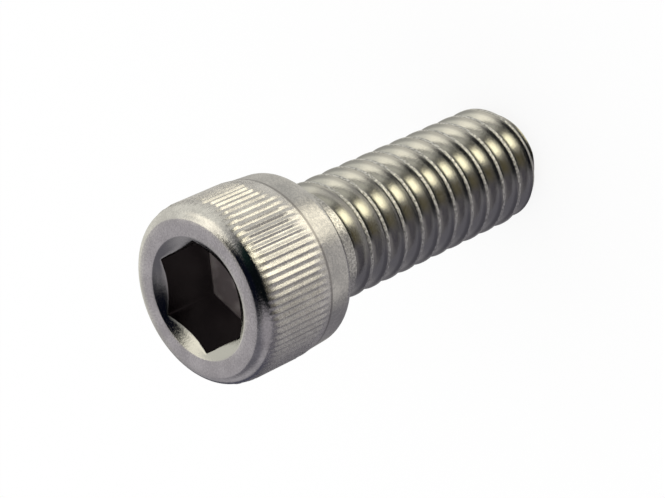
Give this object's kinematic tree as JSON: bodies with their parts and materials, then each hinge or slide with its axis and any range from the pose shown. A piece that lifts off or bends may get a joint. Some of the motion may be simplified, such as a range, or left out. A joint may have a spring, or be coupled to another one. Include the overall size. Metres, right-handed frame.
{
  "type": "socket head bolt",
  "caption": "Socket head bolt with a straight-knurled cylinder head, a hexagon socket and a coarse right-hand thread up to the head.",
  "frame": {"origin": "centre of the thread's flat end, on which the bolt stands", "axes": "+Z along the bolt's axis, from the thread's end to the head's face; a corner of the hexagon socket lies on +X"},
  "size_m": [0.0094, 0.0094, 0.0225],
  "materials": {
    "steel": "plain stainless steel, cold forged and rolled, smooth with a soft shine"
  },
  "bodies": {
    "root": {"bolt": "steel"}
  },
  "joints": []
}
